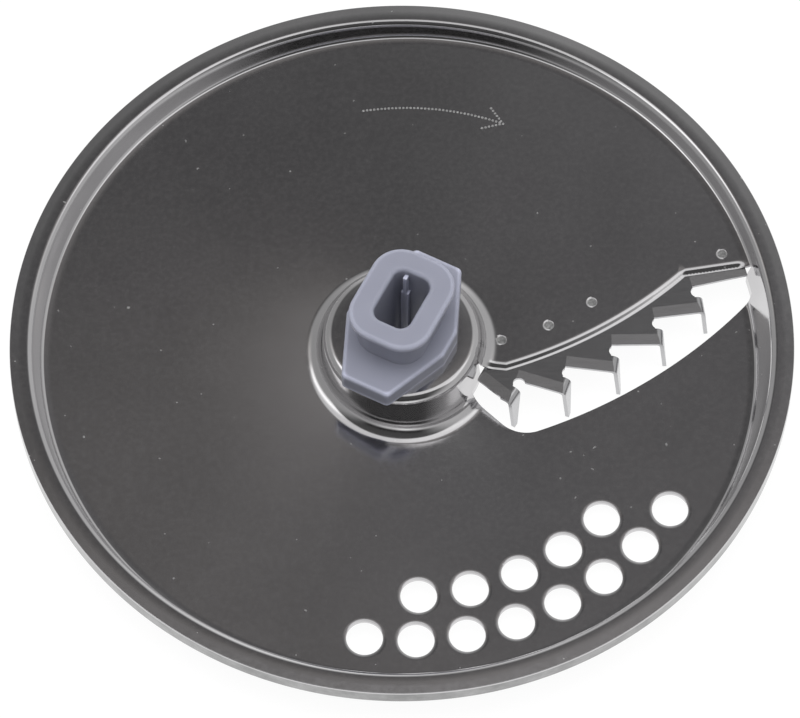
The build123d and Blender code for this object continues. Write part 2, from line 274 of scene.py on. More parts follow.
class PlateSettings(bpy.types.PropertyGroup):
    """Finish of the pressed plate."""

    colour: colour("Steel colour", "Reflection colour of the rolled sheet", (0.62, 0.612, 0.62))
    roughness: factor("Roughness", "Blur of the reflections on the sheet", 0.13)
    ripple: factor("Ripple", "Strength of the faint waves that pressing leaves", 0.05)


class BladeSettings(bpy.types.PropertyGroup):
    """Finish of the blade."""

    colour: colour("Steel colour", "Reflection colour of the blade steel", (0.52, 0.52, 0.53))
    roughness: factor("Roughness", "Blur of the reflections on the blade", 0.2)


class HubSettings(bpy.types.PropertyGroup):
    """Finish of the moulded hub."""

    colour: colour("Plastic colour", "Colour of the moulded plastic", (0.27, 0.278, 0.34))
    roughness: factor("Roughness", "Roughness of the moulded skin", 0.42)
    glow: factor("Glow", "Share of the light that travels inside the plastic", 0.25)


class ArrowSettings(bpy.types.PropertyGroup):
    """Turning arrow punched into the plate as a row of dots."""

    radius: length("Radius", "Radius of the arrow's arc about the axis", 64.0)
    middle: angle("Middle", "Angle of the arc's middle", 83.0)
    span: angle("Span", "Angle that the arc covers", 30.0)
    head: length("Head", "Length of each stroke of the arrow's head", 5.0)
    head_spread: angle("Head spread", "Angle between the arc and a stroke of its head", 35.0)
    pitch: length("Pitch", "Distance from dot to dot", 0.85)
    dot: length("Dot", "Diameter of a punched dot", 0.66)


class StageSettings(bpy.types.PropertyGroup):
    """Camera, floor and studio light."""

    distance: length("Distance", "Distance of the camera from the rim's level", 1200.0)
    elevation: angle("Elevation", "Angle of the camera above the horizon", 61.44)
    roll: angle("Roll", "Tilt of the picture", -0.17)
    aside: length("Aside", "Shift of the camera to the right", -0.446)
    above: length("Above", "Shift of the camera upward in the picture", -5.092)
    focal_pixels: level("Focal length", "Focal length in pixels of the picture", 5230.7)
    floor_size: length("Floor size", "Side of the floor", 60000.0)
    lamp_height: length("Lamp height", "Height of the soft lamp", 1500.0)
    lamp_size: length("Lamp size", "Side of the soft lamp", 1600.0)
    lamp_power: level("Lamp power", "Power of the soft lamp in watts", 22.0)


# Node helpers.


def shade(value):
    """Colour of a socket from a grey level or from three channels."""
    channels = (value,) * 3 if isinstance(value, float) else value
    return (*channels, 1.0)


def scaled(channels, share):
    """Colour made darker or lighter, up to white."""
    return tuple(min(1.0, channel * share) for channel in channels)


def new_finish(name):
    """Material with an empty node tree, and the socket of its surface."""
    material = bpy.data.materials.new(name)
    material.use_nodes = True
    tree = material.node_tree
    tree.nodes.clear()
    return material, tree, tree.nodes.new("ShaderNodeOutputMaterial").inputs["Surface"]


def object_place(tree):
    """Object coordinates."""
    return add(tree, "ShaderNodeTexCoord").outputs["Object"]


def add(tree, kind, settings=None, **inputs):
    """Node of a kind, with plain settings and with values or links on its sockets."""
    node = tree.nodes.new(kind)
    for name, value in (settings or {}).items():
        setattr(node, name, value)
    for name, value in inputs.items():
        key = int(name[1:]) if name[1:].isdigit() else name.replace("_", " ")
        if isinstance(value, bpy.types.NodeSocket):
            tree.links.new(value, node.inputs[key])
        else:
            node.inputs[key].default_value = value
    return node


def math(tree, operation, first, second=0.0, clamp=False):
    """Result of a math node."""
    settings = {"operation": operation, "use_clamp": clamp}
    return add(tree, "ShaderNodeMath", settings, s0=first, s1=second).outputs[0]


def product(tree, first, *others):
    """Product of sockets."""
    for other in others:
        first = math(tree, "MULTIPLY", first, other)
    return first


def ramp(tree, share, stops):
    """Colour output of a ramp through stops of a place and a grey level or a colour."""
    node = add(tree, "ShaderNodeValToRGB", s0=share)
    elements = node.color_ramp.elements
    for element, (place, tone) in zip(elements, (stops[0], stops[-1])):
        element.position = place
        element.color = shade(tone)
    for place, tone in stops[1:-1]:
        elements.new(place).color = shade(tone)
    return node.outputs["Color"]


def smooth_range(tree, value, low, high, to_low=0.0, to_high=1.0):
    """Value carried smoothly from one range to another."""
    node = add(
        tree,
        "ShaderNodeMapRange",
        {"interpolation_type": "SMOOTHSTEP"},
        Value=value,
        From_Min=low,
        From_Max=high,
        To_Min=to_low,
        To_Max=to_high,
    )
    return node.outputs[0]


def noise(tree, place, scale, detail=2.0, roughness=0.5):
    """Noise value at object coordinates."""
    node = add(
        tree,
        "ShaderNodeTexNoise",
        Vector=place,
        Scale=scale,
        Detail=detail,
        Roughness=roughness,
    )
    return node.outputs[0]


def mixed_colour(tree, share, first, second, blend="MIX"):
    """Colour mixed from two."""
    settings = {"data_type": "RGBA", "blend_type": blend, "clamp_factor": False}
    return add(tree, "ShaderNodeMix", settings, Factor=share, s6=first, s7=second).outputs[2]


def steel_shader(tree, surface, **sockets):
    """Metal shader put on a surface."""
    steel = add(tree, "ShaderNodeBsdfPrincipled", Metallic=1.0, **sockets)
    tree.links.new(steel.outputs[0], surface)


# Plan outlines.


def polar(radius, turn):
    """Plan point at a radius and an angle."""
    return np.array((radius * cos(turn), radius * sin(turn)))


def ways(turns):
    """Unit plan directions at angles."""
    return np.column_stack((np.cos(turns), np.sin(turns)))


def gap(plan, centre):
    """Distances of plan points from a centre."""
    return np.hypot(*(plan - centre).T)


def straight(start, end, count):
    """Points from start to end."""
    return start + np.linspace(0.0, 1.0, count)[:, None] * (end - start)


def bow_centre(start, end, bow):
    """Centre of the arc from start to end that bows to the right of its chord."""
    chord = end - start
    half = np.hypot(*chord) / 2
    right = np.array((chord[1], -chord[0])) / (2 * half)
    radius = (half**2 + bow**2) / (2 * bow)
    return (start + end) / 2 + right * (bow - radius)


def circle_arc(centre, start, end, count):
    """Points of the shorter arc about a centre from start to end."""
    first = atan2(*(start - centre)[::-1])
    last = atan2(*(end - centre)[::-1])
    sweep = (last - first + pi) % LAP - pi
    return centre + np.hypot(*(start - centre)) * ways(first + np.linspace(0.0, sweep, count))


def ring(centre, radius, count):
    """Points of a whole circle."""
    return centre + radius * ways(np.arange(count) * LAP / count)


def roll_radius(width, drop):
    """Radius of a rolled edge that leaves the sheet smoothly and falls by the drop."""
    return (width**2 + drop**2) / (2 * drop)


# Pressed sheet.


class PressedSheet:
    """Sheet as two faces over a place along its section and an angle counted on from the lip."""

    def __init__(self, sizes):
        self.sizes = sizes
        self.slot_outer_radius = sizes.outer_radius - sizes.slot_rim_gap
        self.lip = self.lip_path()
        self.lip_runs = self.lip[1:] - self.lip[:-1]
        self.lip_lengths = np.hypot(*self.lip_runs.T)
        left = np.column_stack((-self.lip_runs[:, 1], self.lip_runs[:, 0]))
        self.lip_left = left / self.lip_lengths[:, None]
        self.entry = self.entry_path()
        self.holes = self.hole_centres()
        self.welds = [polar(reach * MM, radians(turn)) for reach, turn in WELDS]
        self.rows = self.row_places()

    def lip_path(self):
        """Lip from its inner to its outer end."""
        sizes = self.sizes
        inner = polar(sizes.slot_inner_radius, sizes.lip_inner_angle)
        shoulder = polar(sizes.lip_shoulder_radius, sizes.lip_shoulder_angle)
        kink = polar(sizes.lip_kink_radius, sizes.lip_kink_angle)
        outer = polar(self.slot_outer_radius, sizes.lip_outer_angle)
        centre = bow_centre(shoulder, kink, sizes.lip_bow)
        start = straight(inner, shoulder, count=9)
        bow = circle_arc(centre, shoulder, kink, count=70)
        return np.vstack((start[:-1], bow[:-1], straight(kink, outer, count=20)))

    def entry_path(self):
        """Entry edge from its outer to its inner end, with its corner rounded."""
        sizes = self.sizes
        inner = polar(sizes.slot_inner_radius, sizes.entry_inner_angle)
        corner = polar(sizes.entry_corner_radius, sizes.entry_corner_angle)
        outer = polar(self.slot_outer_radius, sizes.entry_outer_angle)
        centre = bow_centre(corner, outer, sizes.entry_bow)
        radius = np.hypot(*(outer - centre))
        along = (corner - inner) / np.hypot(*(corner - inner))
        base = inner + sizes.entry_corner_round * np.array((-along[1], along[0])) - centre
        half = along @ base
        spread = (half**2 - base @ base + (radius - sizes.entry_corner_round) ** 2) ** 0.5
        reach = np.hypot(*(corner - inner))
        run = min((-half - spread, -half + spread), key=lambda root: abs(root - reach))
        middle = centre + base + run * along
        touch = centre + (middle - centre) * radius / np.hypot(*(middle - centre))
        foot = inner + run * along
        bow = circle_arc(centre, outer, touch, count=80)
        bend = circle_arc(middle, touch, foot, count=20)
        return np.vstack((bow[:-1], bend[:-1], straight(foot, inner, count=10)))

    def hole_centres(self):
        """Centres of both rows of holes."""
        sizes = self.sizes
        outer = [
            polar(sizes.outer_row_radius, sizes.outer_row_angle + i * sizes.outer_row_step)
            for i in range(sizes.outer_row_count)
        ]
        inner = [
            polar(sizes.inner_row_radius, sizes.inner_row_angle + i * sizes.inner_row_step)
            for i in range(sizes.inner_row_count)
        ]
        return outer + inner

    def row_places(self):
        """Places of the rows of points, evenly over each straight and bend."""
        rows = [
            np.linspace(part, part + 1, count, endpoint=False)
            for part, count in enumerate(SECTION_ROWS)
        ]
        return np.concatenate(rows)

    def floor_depth(self, turns):
        """Depth of the spiral floor under the rim, eased at both ends."""
        sizes = self.sizes
        share = (turns - sizes.ramp_start) / (sizes.ramp_end - sizes.ramp_start)
        share = np.clip(share, 0.0, 1.0)
        ease = sizes.ramp_ease
        eased = (share - ease / 2) / (1 - ease)
        scale = 2 * ease * (1 - ease)
        eased = np.where(share < ease, share**2 / scale, eased)
        eased = np.where(share > 1 - ease, 1 - (1 - share) ** 2 / scale, eased)
        return sizes.lip_depth + (sizes.entry_depth - sizes.lip_depth) * eased

    def section(self, turns, under):
        """Ends of the section's straights, their headings and the bends between them."""
        sizes = self.sizes
        rim = sizes.rim_level
        crest = sizes.outer_radius - sizes.flange_width
        crest -= sizes.rim_crest_bend * tan(sizes.rim_wall / 2)
        top = rim + sizes.boss_rise
        depth = self.floor_depth(turns)
        toe = crest - depth / tan(sizes.rim_wall) - sizes.toe_reach
        starts = [
            (0.0, top),
            (BOSS_SLOPE_START * sizes.boss_radius, top),
            (sizes.boss_radius, top),
            (0.0, rim - depth),
            (toe, rim - depth),
            (crest, rim),
            (crest, rim),
            (sizes.outer_radius - RIM_SLOPE_START * sizes.flange_width, rim),
            (sizes.outer_radius, rim),
        ]
        headings = (0.0, -sizes.boss_fall, -sizes.boss_wall)
        headings += (0.0, sizes.toe_slope, sizes.rim_wall)
        headings += (0.0, -sizes.flange_fall, -pi / 2)
        inset = sizes.thickness if under else 0.0
        lines = [
            (x + inset * sin(heading), z - inset * cos(heading))
            for (x, z), heading in zip(starts, headings)
        ]
        bends = (
            sizes.boss_crown - inset,
            max(sizes.boss_crest_bend - inset, TIGHTEST_BEND),
            sizes.boss_floor_bend + inset,
            sizes.toe_bend + inset,
            sizes.rim_floor_bend + inset,
            max(sizes.rim_crest_bend - inset, TIGHTEST_BEND),
            sizes.flange_crown - inset,
            max(sizes.skirt_bend - inset, TIGHTEST_BEND),
        )
        first = [(0.0 * turns, lines[0][1] + 0.0 * turns)]
        last = []
        for i, bend in enumerate(bends):
            x, z = self.meeting(lines[i], headings[i], lines[i + 1], headings[i + 1])
            reach = bend * tan(abs(headings[i + 1] - headings[i]) / 2)
            last.append((x - reach * cos(headings[i]), z - reach * sin(headings[i])))
            first.append((x + reach * cos(headings[i + 1]), z + reach * sin(headings[i + 1])))
        last.append((lines[-1][0] + 0.0 * turns, rim - sizes.skirt_drop + 0.0 * turns))
        return first, last, headings, bends

    @staticmethod
    def meeting(point_a, heading_a, point_b, heading_b):
        """Point where two lines of the section meet."""
        across = point_b[0] - point_a[0]
        rise = point_b[1] - point_a[1]
        along = across * sin(heading_b) - rise * cos(heading_b)
        along = along / sin(heading_b - heading_a)
        return point_a[0] + along * cos(heading_a), point_a[1] + along * sin(heading_a)

    def face(self, places, turns, under=False):
        """Radius, height and heading of a face at places along the section."""
        first, last, headings, bends = self.section(turns, under)
        part = np.clip(np.floor(places), 0, len(SECTION_ROWS) - 1).astype(int)
        share = places - part
        radius, height, heading = np.zeros((3, len(places)))
        for i in range(len(headings)):
            on = part == 2 * i
            for target, axis in ((radius, 0), (height, 1)):
                start = np.broadcast_to(first[i][axis], share.shape)[on]
                end = np.broadcast_to(last[i][axis], share.shape)[on]
                target[on] = start + share[on] * (end - start)
            heading[on] = headings[i]
        for i, bend in enumerate(bends):
            on = part == 2 * i + 1
            turn = headings[i + 1] - headings[i]
            side = bend if turn > 0 else -bend
            bent = headings[i] + share[on] * turn
            x = np.broadcast_to(last[i][0], share.shape)[on]
            z = np.broadcast_to(last[i][1], share.shape)[on]
            radius[on] = x - side * sin(headings[i]) + side * np.sin(bent)
            height[on] = z + side * cos(headings[i]) - side * np.cos(bent)
            heading[on] = bent
        return radius, height, heading

    def place_at(self, radii, turns, under=False):
        """Places along the section where a face stands at given radii."""
        near = self.face(np.full(len(turns), FLOOR_START), turns, under)[0]
        far = self.face(np.full(len(turns), FLOOR_END - SAME), turns, under)[0]
        places = FLOOR_START + (radii - near) / (far - near)
        trial = np.linspace(0.0, WALL_END + 1, PLACE_STEPS)
        for i in np.flatnonzero((places < FLOOR_START) | (places > FLOOR_END)):
            reach = self.face(trial, np.full(len(trial), turns[i]), under)[0]
            places[i] = np.interp(radii[i], reach, trial)
        return places

    def points(self, places, turns, under=False):
        """Points and normals of a face, with the pressed details on the upper one."""
        radius, height, heading = self.face(places, turns, under)
        ahead = self.face(places, turns + TURN_STEP, under)
        behind = self.face(places, turns - TURN_STEP, under)
        out = ways(turns)
        round_way = np.column_stack((-out[:, 1], out[:, 0]))
        growth = (ahead[0] - behind[0]) / (2 * TURN_STEP)
        climb = (ahead[1] - behind[1]) / (2 * TURN_STEP)
        along = np.column_stack((out * np.cos(heading)[:, None], np.sin(heading)))
        across = np.column_stack((out * growth[:, None] + round_way * radius[:, None], climb))
        normal = np.cross(along, across)
        normal /= np.linalg.norm(normal, axis=1)[:, None]
        point = np.column_stack((out * radius[:, None], height))
        if not under:
            drop, slope = self.pressing(point[:, :2], turns)
            on = drop > 0
            point[on, 2] -= drop[on]
            normal[on, :2] += slope[on] * normal[on, 2:]
            normal /= np.linalg.norm(normal, axis=1)[:, None]
        return point, normal

    def pressing(self, plan, turns):
        """Drop of the rolled lip, the holes' soft edges and the weld dents, with its slope."""
        sizes = self.sizes
        drop = np.zeros(len(plan))
        slope = np.zeros((len(plan), 2))
        radii = np.hypot(*plan.T)
        on = np.flatnonzero((turns < pi / 2) & (radii < self.slot_outer_radius + TOUCHING))
        distance, away = self.from_lip(plan[on])
        fade = np.clip((self.slot_outer_radius - radii[on]) / sizes.lip_roll_width, 0, 1)
        fallen, fall = self.lip_rolled(distance)
        drop[on] += fallen * fade
        slope[on] += away * (fall * fade)[:, None]
        rim = sizes.hole_diameter / 2
        for centre in self.holes:
            offset = plan - centre
            reach = np.hypot(*offset.T)
            on = np.flatnonzero((reach < rim + sizes.hole_flare) & (turns > pi))
            fallen, fall = self.rolled(reach[on] - rim, sizes.hole_flare, sizes.hole_flare_drop)
            drop[on] += fallen
            slope[on] += offset[on] / reach[on, None] * fall[:, None]
        ball = roll_radius(sizes.weld_diameter / 2, sizes.weld_dent)
        for centre in self.welds:
            offset = plan - centre
            reach = np.hypot(*offset.T)
            on = np.flatnonzero((reach < sizes.weld_diameter / 2) & (turns < pi / 2))
            height = np.sqrt(ball**2 - reach[on] ** 2)
            drop[on] += height - ball + sizes.weld_dent
            slope[on] -= offset[on] / height[:, None]
        return drop, slope

    @staticmethod
    def rolled(distance, width, depth):
        """Drop of a rolled edge at distances from it, and how the drop changes with distance."""
        radius = roll_radius(width, depth)
        run = np.clip(width - distance, 0.0, width)
        height = np.sqrt(radius**2 - run**2)
        return radius - height, -run / height

    def lip_rolled(self, distance):
        """Drop of the lip's rolled edge at distances from it, and how the drop changes."""
        trial = np.linspace(0.0, self.sizes.lip_roll_width, ROLL_STEPS)
        shares, slopes = zip(*LIP_SLOPES)
        fall = np.tan(np.interp(trial / trial[-1], shares, np.radians(slopes)))
        steps = (fall[1:] + fall[:-1]) / 2 * trial[1]
        drop = np.concatenate((np.cumsum(steps[::-1])[::-1], [0.0]))
        return np.interp(distance, trial, drop), -np.interp(distance, trial, fall, right=0.0)

    def from_lip(self, plan):
        """Distance of plan points from the lip, and the direction that leads away from it."""
        offset = plan[:, None] - self.lip[:-1]
        share = np.clip((offset * self.lip_runs).sum(2) / self.lip_lengths**2, 0.0, 1.0)
        gaps = np.hypot(*np.moveaxis(offset - share[..., None] * self.lip_runs, 2, 0))
        nearest = gaps.argmin(1)
        return gaps[np.arange(len(plan)), nearest], self.lip_left[nearest]

    def opening_radius(self, turns):
        """Radius of the hub's opening, a rectangle with round corners, at angles."""
        sizes = self.sizes
        half = np.array((sizes.opening_length, sizes.opening_width)) / 2 - sizes.opening_round
        way = np.abs(ways(turns - sizes.hub_angle))
        low = np.zeros(len(turns))
        high = np.full(len(turns), sizes.opening_length)
        for _ in range(OPENING_HALVINGS):
            middle = (low + high) / 2
            excess = np.maximum(way * middle[:, None] - half, 0.0)
            outside = np.hypot(*excess.T) > sizes.opening_round
            high = np.where(outside, middle, high)
            low = np.where(outside, low, middle)
        return high

    def seam(self, turn, first, last):
        """Rows of a seam between two places, as places and angles."""
        low, high = min(first, last) + SEAM_ROOM, max(first, last) - SEAM_ROOM
        rows = self.rows[(self.rows > low) & (self.rows < high)]
        rows = rows if last > first else rows[::-1]
        return rows, rows, np.full(len(rows), turn)

    def cut(self, plan, lap):
        """Upright cut through both faces along plan points, as places and angles."""
        turns = np.arctan2(plan[:, 1], plan[:, 0]) + lap
        radii = np.hypot(*plan.T)
        return self.place_at(radii, turns), self.place_at(radii, turns, under=True), turns

    def border(self):
        """Closed border of the sheet: lip, rim, entry edge and opening, joined by seams."""
        sizes = self.sizes
        inner_turn, outer_turn = sizes.lip_inner_angle, sizes.lip_outer_angle
        end = float(len(SECTION_ROWS))
        lip = self.cut(self.lip, 0.0)
        rim_turns = np.linspace(outer_turn, outer_turn + LAP, round(LAP / sizes.column_step))
        rim = (np.full(len(rim_turns), end),) * 2 + (rim_turns,)
        slot_end = circle_arc(np.zeros(2), self.lip[-1], self.entry[0], count=6)
        slot_start = circle_arc(np.zeros(2), self.entry[-1], self.lip[0], count=9)
        far_end = self.cut(slot_end[:-1], LAP)
        entry = self.cut(self.entry, LAP)
        near_end = self.cut(slot_start[1:], LAP)
        hub_turns = np.linspace(inner_turn + LAP, inner_turn, num=150)
        opening = self.cut(self.opening_radius(hub_turns)[:, None] * ways(hub_turns), 0.0)
        opening = opening[:2] + (hub_turns,)
        stretches = (
            self.seam(inner_turn, opening[0][-1], lip[0][0]),
            lip,
            self.seam(outer_turn, lip[0][-1], end),
            rim,
            self.seam(outer_turn + LAP, end, far_end[0][0]),
            far_end,
            entry,
            near_end,
            self.seam(inner_turn + LAP, near_end[0][-1], opening[0][0]),
            opening,
        )
        return [np.concatenate(parts) for parts in zip(*stretches)]

    def inside(self, places, turns):
        """Marks the points that lie well inside the border and clear of the pressed details."""
        sizes = self.sizes
        radii = self.face(places, turns)[0]
        plan = radii[:, None] * ways(turns)
        lip_turns = np.arctan2(self.lip[:, 1], self.lip[:, 0])
        entry_turns = np.arctan2(self.entry[:, 1], self.entry[:, 0])[::-1] + LAP
        first = np.interp(radii, np.hypot(*self.lip.T), lip_turns)
        last = np.interp(radii, np.hypot(*self.entry.T)[::-1], entry_turns)
        beyond = radii > self.slot_outer_radius + GRID_ROOM
        within = radii < sizes.slot_inner_radius - GRID_ROOM
        last = np.where(beyond, sizes.lip_outer_angle + LAP, last)
        last = np.where(within, sizes.lip_inner_angle + LAP, last)
        kept = (turns > first + GRID_ROOM / radii) & (turns < last - GRID_ROOM / radii)
        kept &= radii > self.opening_radius(turns) + GRID_ROOM
        on_lip = np.flatnonzero(turns < pi / 2)
        distance = self.from_lip(plan[on_lip])[0]
        near_slot = radii[on_lip] < self.slot_outer_radius + GRID_ROOM
        kept[on_lip[(distance < sizes.lip_roll_width + GRID_ROOM) & near_slot]] = False
        edge = sizes.hole_diameter / 2 + sizes.hole_flare + GRID_ROOM
        for centre in self.holes:
            kept &= (gap(plan, centre) > edge) | (turns < pi)
        for centre in self.welds:
            kept &= (gap(plan, centre) > sizes.weld_diameter / 2 + GRID_ROOM) | (turns > pi)
        return kept

    def details(self):
        """Extra points on the lip's roll, the holes' soft edges and the weld dents."""
        sizes = self.sizes
        found = []
        middles = (self.lip[1:] + self.lip[:-1]) / 2
        for share in LIP_ROWS:
            distance = share * sizes.lip_roll_width
            plan = middles + distance * self.lip_left
            true = self.from_lip(plan)[0] > distance - LIP_ROOM
            inside = np.hypot(*plan.T) < self.slot_outer_radius - LIP_END_ROOM
            found.append((plan[true & inside], 0.0))
        for centre in self.holes:
            for share in HOLE_ROWS:
                radius = sizes.hole_diameter / 2 + share * sizes.hole_flare
                found.append((ring(centre, radius, HOLE_POINTS), LAP))
        for centre in self.welds:
            for share in WELD_ROWS:
                spots = ring(centre, share * sizes.weld_diameter / 2, count=20)
                found.append((spots if share else spots[:1], 0.0))
        stretches = [self.cut(plan, lap) for plan, lap in found]
        return [np.concatenate(parts) for parts in zip(*stretches)]

    def spread(self, places):
        """Places carried to lengths along the middle section, so that triangles come out even."""
        trial = np.linspace(0.0, len(SECTION_ROWS), LENGTH_STEPS)
        middle = np.full(len(trial), (self.sizes.ramp_start + self.sizes.ramp_end) / 2)
        radius, height = self.face(trial, middle)[:2]
        steps = np.hypot(np.diff(radius), np.diff(height))
        return np.interp(places, trial, np.concatenate(([0.0], np.cumsum(steps))))

    def net(self):
        """Places and angles of all points, with the triangles between them."""
        sizes = self.sizes
        parts = [self.border()]
        for centre in self.holes:
            parts.append(self.cut(ring(centre, sizes.hole_diameter / 2, HOLE_POINTS), LAP))
        links = []
        count = 0
        for loop in parts:
            size = len(loop[0])
            links += [(count + i, count + (i + 1) % size) for i in range(size)]
            count += size
        parts.append(self.details())
        turns = np.arange(sizes.lip_inner_angle, sizes.lip_outer_angle + LAP, sizes.column_step)
        grid = [field.ravel() for field in np.meshgrid(self.rows, turns)]
        kept = self.inside(*grid)
        parts.append((grid[0][kept], grid[0][kept], grid[1][kept]))
        places, under_places, turns = [np.concatenate(fields) for fields in zip(*parts)]
        flat = np.column_stack((self.spread(places), turns * (sizes.outer_radius / 2))) / MM
        inside_only = 1
        found = delaunay_2d_cdt([Vector(point) for point in flat], links, [], inside_only, TOUCHING)
        if len(found[0]) != len(places):
            raise RuntimeError("the sheet's border crosses itself")
        triangles = np.array(found[2])[:, :3]
        order = np.array([same[0] for same in found[3]])
        return places, under_places, turns, order[triangles]

    def seam_partners(self, places, turns):
        """Index of the point that each one is joined to where the spiral closes on itself."""
        partner = np.arange(len(places))
        for start, shared in (
            (self.sizes.lip_inner_angle, places <= CREST_END),
            (self.sizes.lip_outer_angle, places >= WALL_END),
        ):
            here = np.flatnonzero(shared & (np.abs(turns - start) < SAME))
            there = np.flatnonzero(shared & (np.abs(turns - start - LAP) < SAME))
            for i in there:
                partner[i] = here[np.abs(places[here] - places[i]).argmin()]
        return partner


def outer_edges(triangles):
    """Edges that only one triangle has, in its own direction."""
    edges = np.vstack([triangles[:, pair] for pair in ((0, 1), (1, 2), (2, 0))])
    known = {(int(a), int(b)) for a, b in edges}
    return np.array([(a, b) for a, b in known if (b, a) not in known])


def wall_normals(points, edges, shift):
    """Normals at both ends of the upright walls under edges, smooth round gentle bends."""
    run = points[edges[:, 1]] - points[edges[:, 0]]
    down = points[edges[:, 0] + shift] - points[edges[:, 0]]
    flat = np.cross(down, run)
    flat /= np.maximum(np.linalg.norm(flat, axis=1), LEAST_LENGTH)[:, None]
    leaving = {int(a): i for i, (a, b) in enumerate(edges)}
    arriving = {int(b): i for i, (a, b) in enumerate(edges)}
    ends = []
    for column, neighbours in ((0, arriving), (1, leaving)):
        other = flat[[neighbours[int(vertex)] for vertex in edges[:, column]]]
        gentle = (flat * other).sum(1) > cos(GENTLE_CORNER)
        joined = np.where(gentle[:, None], flat + other, flat)
        ends.append(joined / np.linalg.norm(joined, axis=1)[:, None])
    return ends


def sheet_mesh(sheet, name):
    """Closed mesh of the pressed sheet with its true normals, and weld spots as a second finish."""
    places, under_places, turns, triangles = sheet.net()
    upper, upper_normals = sheet.points(places, turns)
    lower, lower_normals = sheet.points(under_places, turns, under=True)
    middles = upper[triangles].mean(1)[:, :2]
    middle_turns = turns[triangles].mean(1)
    solid = np.ones(len(triangles), bool)
    for centre in sheet.holes:
        solid &= (gap(middles, centre) > sheet.sizes.hole_diameter / 2) | (middle_turns < pi)
    spots = np.zeros(len(triangles), bool)
    spot_radius = WELD_SHARE * sheet.sizes.weld_diameter / 2
    for centre in sheet.welds:
        spots |= (gap(middles, centre) < spot_radius) & (middle_turns < pi)
    spots = spots[solid]
    triangles = sheet.seam_partners(places, turns)[triangles[solid]]
    shift = len(places)
    points = np.vstack((upper, lower))
    edges = outer_edges(triangles)
    first, second = wall_normals(points, edges, shift)
    walls = np.column_stack((edges[:, 0], edges[:, 0] + shift, edges[:, 1] + shift, edges[:, 1]))
    normals = (
        upper_normals[triangles].reshape(-1, 3),
        -lower_normals[triangles[:, ::-1]].reshape(-1, 3),
        np.stack((first, first, second, second), axis=1).reshape(-1, 3),
    )
    faces = triangles.tolist() + (triangles[:, ::-1] + shift).tolist() + walls.tolist()
    used = np.unique(np.concatenate([np.ravel(triangles), np.ravel(triangles) + shift]))
    new_index = np.zeros(len(points), int)
    new_index[used] = np.arange(len(used))
    faces = [[int(new_index[vertex]) for vertex in face] for face in faces]
    mesh = bpy.data.meshes.new(name)
    mesh.from_pydata(points[used].tolist(), [], faces)
    finish = np.zeros(len(faces), np.int32)
    finish[: len(spots)] = spots
    mesh.polygons.foreach_set("material_index", finish)
    mesh.shade_smooth()
    mesh.normals_split_custom_set(np.vstack(normals).tolist())
    return mesh


# Materials.


def painted_skirt_shade_mask(tree, place, sheet):
    """Marks the turned-down edge of the sheet, where shade is painted into the metal's colour."""
    across, along, up = add(tree, "ShaderNodeSeparateXYZ", Vector=place).outputs
    plan = add(tree, "ShaderNodeCombineXYZ", X=across, Y=along).outputs[0]
    radius = add(tree, "ShaderNodeVectorMath", {"operation": "LENGTH"}, s0=plan).outputs["Value"]
    outer = smooth_range(tree, radius, *(sheet.outer_radius - inset for inset in SKIRT_SHADE_IN))
    below = smooth_range(tree, up, *(sheet.rim_level - drop for drop in SKIRT_SHADE_DOWN))
    return product(tree, outer, below)


def plate_material(settings, sheet):
    """Bright rolled sheet with soft blotches, a fine grain, a few specks and painted shade on its
    skirt.
    """
    material, tree, surface = new_finish("bright_rolled_steel")
    place = object_place(tree)
    blotch = noise(tree, place, scale=30.0, detail=3.0)
    grain = noise(tree, place, scale=900.0, detail=4.0, roughness=0.6)
    speck = smooth_range(tree, noise(tree, place, scale=900.0, detail=0.0), 0.865, 0.89)
    skirt_shade_noise = noise(tree, place, scale=140.0, detail=4.0, roughness=0.6)
    tint = ramp(tree, blotch, ((0.32, scaled(settings.colour, 0.9)), (0.6, settings.colour)))
    shown = mixed_colour(tree, speck, tint, shade(0.72))
    # Painted shade: the turned-down skirt gets a darker, blotchy metal colour, which dims the white
    # floor that it reflects.
    painted_skirt_shade = ramp(tree, skirt_shade_noise, ((0.35, 0.25), (0.65, 0.38)))
    shown = mixed_colour(tree, painted_skirt_shade_mask(tree, place, sheet), shown, painted_skirt_shade)
    low, high = settings.roughness * 0.8, settings.roughness * 1.25
    rough = smooth_range(tree, grain, 0.25, 0.75, low, high)
    rough = math(tree, "ADD", rough, product(tree, speck, 0.2))
    waves = noise(tree, place, scale=60.0)
    ripple = add(
        tree, "ShaderNodeBump", Strength=settings.ripple, Distance=0.4 * MM, Height=waves
    )
    steel_shader(tree, surface, Base_Color=shown, Roughness=rough, Normal=ripple.outputs[0])
    return material


def weld_material():
    """Mottled grey steel of a spot weld."""
    material, tree, surface = new_finish("weld_spot_steel")
    place = object_place(tree)
    mottle = noise(tree, place, scale=1600.0, detail=3.0, roughness=0.6)
    tint = ramp(tree, mottle, ((0.35, 0.3), (0.65, 0.62)))
    rough = smooth_range(tree, mottle, 0.2, 0.8, 0.55, 0.75)
    bump = add(tree, "ShaderNodeBump", Strength=0.4, Distance=0.1 * MM, Height=mottle)
    steel_shader(tree, surface, Base_Color=tint, Roughness=rough, Normal=bump.outputs[0])
    return material


def blade_material(settings):
    """Blade steel with faint grinding lines."""
    material, tree, surface = new_finish("ground_steel")
    place = object_place(tree)
    stretched = add(tree, "ShaderNodeMapping", Vector=place, Scale=(300.0, 3000.0, 300.0))
    lines = noise(tree, stretched.outputs[0], scale=1.0, detail=3.0, roughness=0.6)
    tint = ramp(tree, lines, ((0.25, scaled(settings.colour, 0.95)), (0.75, settings.colour)))
    low, high = settings.roughness * 0.92, settings.roughness * 1.1
    rough = smooth_range(tree, lines, 0.2, 0.8, low, high)
    steel_shader(tree, surface, Base_Color=tint, Roughness=rough)
    return material


